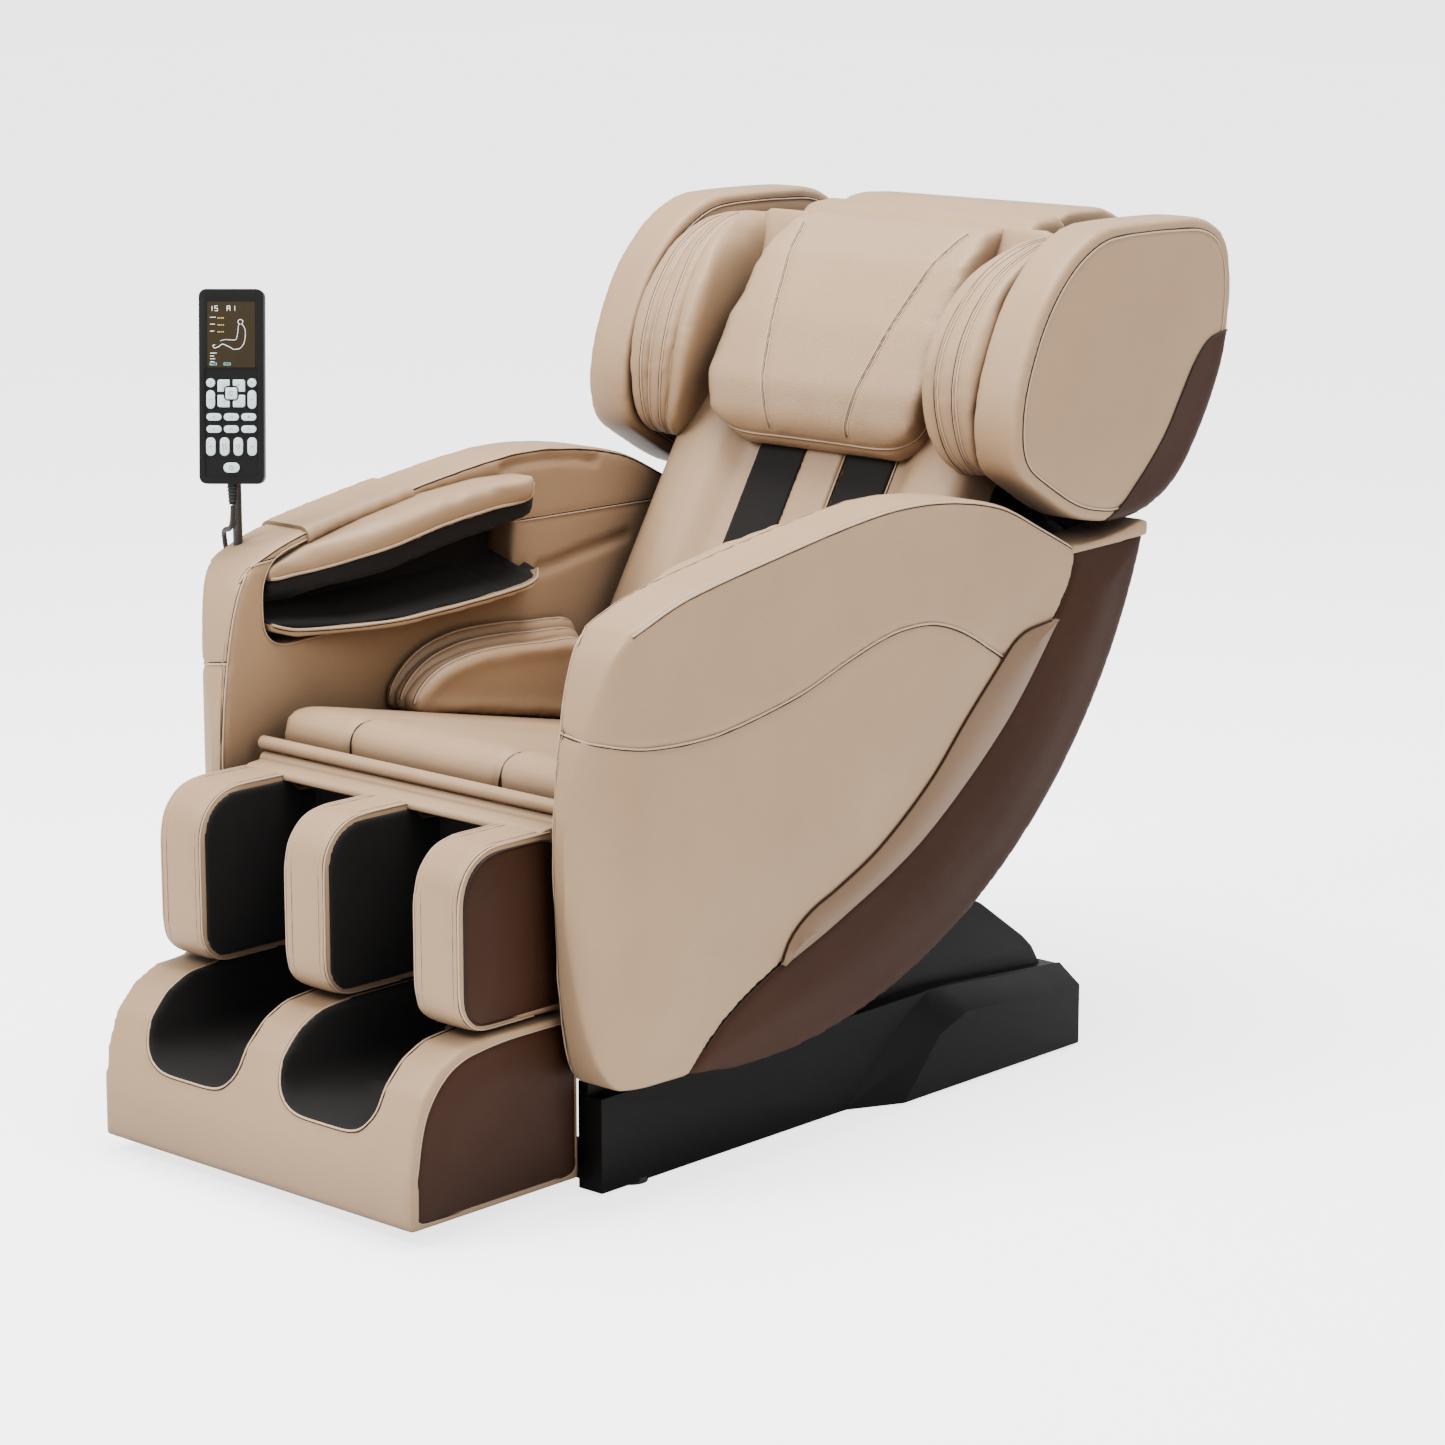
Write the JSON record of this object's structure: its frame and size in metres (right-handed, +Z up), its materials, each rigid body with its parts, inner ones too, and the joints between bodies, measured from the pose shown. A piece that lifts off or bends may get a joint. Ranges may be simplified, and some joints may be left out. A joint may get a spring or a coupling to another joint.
{
  "type": "massage chair",
  "caption": "Full-body massage chair: tilting seat with wrap-round arms and head wings, lifting leg rest with calf channels and foot wells, wired remote.",
  "frame": {"origin": "on the floor, under the middle of the chair", "axes": "+Z up; the chair faces -Y, feet first; +X is towards the sitter's left arm"},
  "size_m": [0.775, 1.422, 1.085],
  "materials": {
    "beige_leather": "soft grained synthetic leather, satin",
    "brown_leather": "smooth synthetic leather, satin",
    "lining": "black stretch fabric",
    "plastic": "fine satin texture",
    "frame": "black powder coat",
    "zinc": "zinc plated",
    "rubber": "matt black",
    "rollers": "firm elastomer, matt",
    "keys": "soft touch"
  },
  "bodies": {
    "base": {"base_frame": "frame", "base_cover_left": "plastic", "base_cover_right": "plastic", "base_rear_cover": "plastic", "actuator_body": "plastic"},
    "body": {"body_frame": "frame", "seat_cushion": "beige_leather", "seat_front_roll": "beige_leather", "arm_inner_panel_left": "beige_leather", "arm_inner_panel_right": "beige_leather", "arm_outer_panel_left": "beige_leather", "arm_outer_panel_right": "beige_leather", "arm_rear_shell_left": "brown_leather", "arm_rear_shell_right": "brown_leather", "forearm_airbag_left": "lining", "forearm_airbag_right": "lining", "hip_airbag_left": "beige_leather", "hip_airbag_right": "beige_leather", "back_cushion": "beige_leather", "track_cover": "lining", "back_cover": "brown_leather", "head_wing_left": "beige_leather", "head_wing_right": "beige_leather", "shoulder_airbag_left": "beige_leather", "shoulder_airbag_right": "beige_leather", "remote_stand": "plastic", "remote_cord": "rubber"},
    "pillow": {"head_pillow": "beige_leather"},
    "leg_rest": {"calf_rest": "beige_leather"},
    "foot_rest": {"foot_rest": "beige_leather"},
    "foot_roller": {"foot_roller": "rollers"},
    "tilt_rod": {"actuator_rod": "zinc"},
    "carriage": {"roller_carriage": "zinc"},
    "upper_rollers": {"upper_rollers": "rollers"},
    "lower_rollers": {"lower_rollers": "rollers"},
    "wheel_left": {"transport_wheel_left": "rubber"},
    "wheel_right": {"transport_wheel_right": "rubber"},
    "power_switch": {"power_switch": "plastic"},
    "remote": {"remote_housing": "plastic", "remote_holder": "plastic"},
    "key_back": {"key_back": "keys"},
    "key_waist": {"key_waist": "keys"},
    "key_mode_left": {"key_mode_left": "keys"},
    "key_mode_right": {"key_mode_right": "keys"},
    "key_auto": {"key_auto": "keys"},
    "key_buttock": {"key_buttock": "keys"},
    "key_arm": {"key_arm": "keys"},
    "key_strength_up": {"key_strength_up": "keys"},
    "key_calf": {"key_calf": "keys"},
    "key_shoulder": {"key_shoulder": "keys"},
    "key_strength_down": {"key_strength_down": "keys"},
    "key_back_up": {"key_back_up": "keys"},
    "key_heater": {"key_heater": "keys"},
    "key_zero_gravity": {"key_zero_gravity": "keys"},
    "key_back_down": {"key_back_down": "keys"},
    "key_power": {"key_power": "keys"},
    "key_speed_up": {"key_speed_up": "keys"},
    "key_speed_down": {"key_speed_down": "keys"},
    "key_foot": {"key_foot": "keys"},
    "key_foot_speed": {"key_foot_speed": "keys"}
  },
  "joints": [
    {"name": "body_tilt", "type": "hinge", "parent": "base", "child": "body", "pos_m": [0, -0.05, 0.25], "axis": [-1, 0, 0], "range_deg": [0, 25]},
    {"name": "leg_lift", "type": "hinge", "parent": "body", "child": "leg_rest", "pos_m": [0, -0.448, 0.447], "axis": [-1, 0, 0], "range_deg": [0, 65]},
    {"name": "foot_extend", "type": "slide", "parent": "leg_rest", "child": "foot_rest", "axis": [0, 0, -1], "range_m": [0, 0.1]},
    {"name": "tilt_rod_slide", "type": "slide", "parent": "base", "child": "tilt_rod", "axis": [0, -1, 0], "range_m": [0, 0.066]},
    {"name": "carriage_travel", "type": "slide", "parent": "body", "child": "carriage", "axis": [0, 0.5225, 0.8526], "range_m": [-0.2, 0.22]},
    {"name": "upper_roller_spin", "type": "hinge", "parent": "carriage", "child": "upper_rollers", "pos_m": [0, 0.35917, 0.69747], "axis": [1, 0, 0], "continuous": true},
    {"name": "lower_roller_spin", "type": "hinge", "parent": "carriage", "child": "lower_rollers", "pos_m": [0, 0.31528, 0.62585], "axis": [1, 0, 0], "continuous": true},
    {"name": "foot_roller_spin", "type": "hinge", "parent": "foot_rest", "child": "foot_roller", "pos_m": [0, -0.575, 0.092], "axis": [1, 0, 0], "continuous": true},
    {"name": "pillow_flip", "type": "hinge", "parent": "body", "child": "pillow", "pos_m": [0, 0.48571, 1.06091], "axis": [-1, 0, 0], "range_deg": [0, 110]},
    {"name": "wheel_left_spin", "type": "hinge", "parent": "base", "child": "wheel_left", "pos_m": [0.189, 0.395, 0.027], "axis": [1, 0, 0], "continuous": true},
    {"name": "wheel_right_spin", "type": "hinge", "parent": "base", "child": "wheel_right", "pos_m": [-0.189, 0.395, 0.027], "axis": [1, 0, 0], "continuous": true},
    {"name": "power_rocker", "type": "hinge", "parent": "base", "child": "power_switch", "pos_m": [0.11, 0.441, 0.047], "axis": [-1, 0, 0], "range_deg": [0, 16]},
    {"name": "remote_swivel", "type": "hinge", "parent": "body", "child": "remote", "pos_m": [-0.35209, -0.40425, 0.782], "axis": [0, 0, 1], "range_deg": [-30, 30]},
    {"name": "press_back", "type": "slide", "parent": "remote", "child": "key_back", "axis": [-0.659, 0.7319, -0.1736], "range_m": [0, 0.001], "stiffness_N_per_m": 800},
    {"name": "press_waist", "type": "slide", "parent": "remote", "child": "key_waist", "axis": [-0.659, 0.7319, -0.1736], "range_m": [0, 0.001], "stiffness_N_per_m": 800},
    {"name": "press_mode_left", "type": "slide", "parent": "remote", "child": "key_mode_left", "axis": [-0.659, 0.7319, -0.1736], "range_m": [0, 0.001], "stiffness_N_per_m": 800},
    {"name": "press_mode_right", "type": "slide", "parent": "remote", "child": "key_mode_right", "axis": [-0.659, 0.7319, -0.1736], "range_m": [0, 0.001], "stiffness_N_per_m": 800},
    {"name": "press_auto", "type": "slide", "parent": "remote", "child": "key_auto", "axis": [-0.659, 0.7319, -0.1736], "range_m": [0, 0.001], "stiffness_N_per_m": 800},
    {"name": "press_buttock", "type": "slide", "parent": "remote", "child": "key_buttock", "axis": [-0.659, 0.7319, -0.1736], "range_m": [0, 0.001], "stiffness_N_per_m": 800},
    {"name": "press_arm", "type": "slide", "parent": "remote", "child": "key_arm", "axis": [-0.659, 0.7319, -0.1736], "range_m": [0, 0.001], "stiffness_N_per_m": 800},
    {"name": "press_strength_up", "type": "slide", "parent": "remote", "child": "key_strength_up", "axis": [-0.659, 0.7319, -0.1736], "range_m": [0, 0.001], "stiffness_N_per_m": 800},
    {"name": "press_calf", "type": "slide", "parent": "remote", "child": "key_calf", "axis": [-0.659, 0.7319, -0.1736], "range_m": [0, 0.001], "stiffness_N_per_m": 800},
    {"name": "press_shoulder", "type": "slide", "parent": "remote", "child": "key_shoulder", "axis": [-0.659, 0.7319, -0.1736], "range_m": [0, 0.001], "stiffness_N_per_m": 800},
    {"name": "press_strength_down", "type": "slide", "parent": "remote", "child": "key_strength_down", "axis": [-0.659, 0.7319, -0.1736], "range_m": [0, 0.001], "stiffness_N_per_m": 800},
    {"name": "press_back_up", "type": "slide", "parent": "remote", "child": "key_back_up", "axis": [-0.659, 0.7319, -0.1736], "range_m": [0, 0.001], "stiffness_N_per_m": 800},
    {"name": "press_heater", "type": "slide", "parent": "remote", "child": "key_heater", "axis": [-0.659, 0.7319, -0.1736], "range_m": [0, 0.001], "stiffness_N_per_m": 800},
    {"name": "press_zero_gravity", "type": "slide", "parent": "remote", "child": "key_zero_gravity", "axis": [-0.659, 0.7319, -0.1736], "range_m": [0, 0.001], "stiffness_N_per_m": 800},
    {"name": "press_back_down", "type": "slide", "parent": "remote", "child": "key_back_down", "axis": [-0.659, 0.7319, -0.1736], "range_m": [0, 0.001], "stiffness_N_per_m": 800},
    {"name": "press_power", "type": "slide", "parent": "remote", "child": "key_power", "axis": [-0.659, 0.7319, -0.1736], "range_m": [0, 0.001], "stiffness_N_per_m": 800},
    {"name": "press_speed_up", "type": "slide", "parent": "remote", "child": "key_speed_up", "axis": [-0.659, 0.7319, -0.1736], "range_m": [0, 0.001], "stiffness_N_per_m": 800},
    {"name": "press_speed_down", "type": "slide", "parent": "remote", "child": "key_speed_down", "axis": [-0.659, 0.7319, -0.1736], "range_m": [0, 0.001], "stiffness_N_per_m": 800},
    {"name": "press_foot", "type": "slide", "parent": "remote", "child": "key_foot", "axis": [-0.659, 0.7319, -0.1736], "range_m": [0, 0.001], "stiffness_N_per_m": 800},
    {"name": "press_foot_speed", "type": "slide", "parent": "remote", "child": "key_foot_speed", "axis": [-0.659, 0.7319, -0.1736], "range_m": [0, 0.001], "stiffness_N_per_m": 800}
  ],
  "couplings": [
    {"joint": "leg_lift", "follows": "body_tilt", "ratio": 2.6},
    {"joint": "foot_extend", "follows": "body_tilt", "m_per_rad": 0.2291},
    {"joint": "tilt_rod_slide", "follows": "body_tilt", "m_per_rad": 0.149}
  ]
}
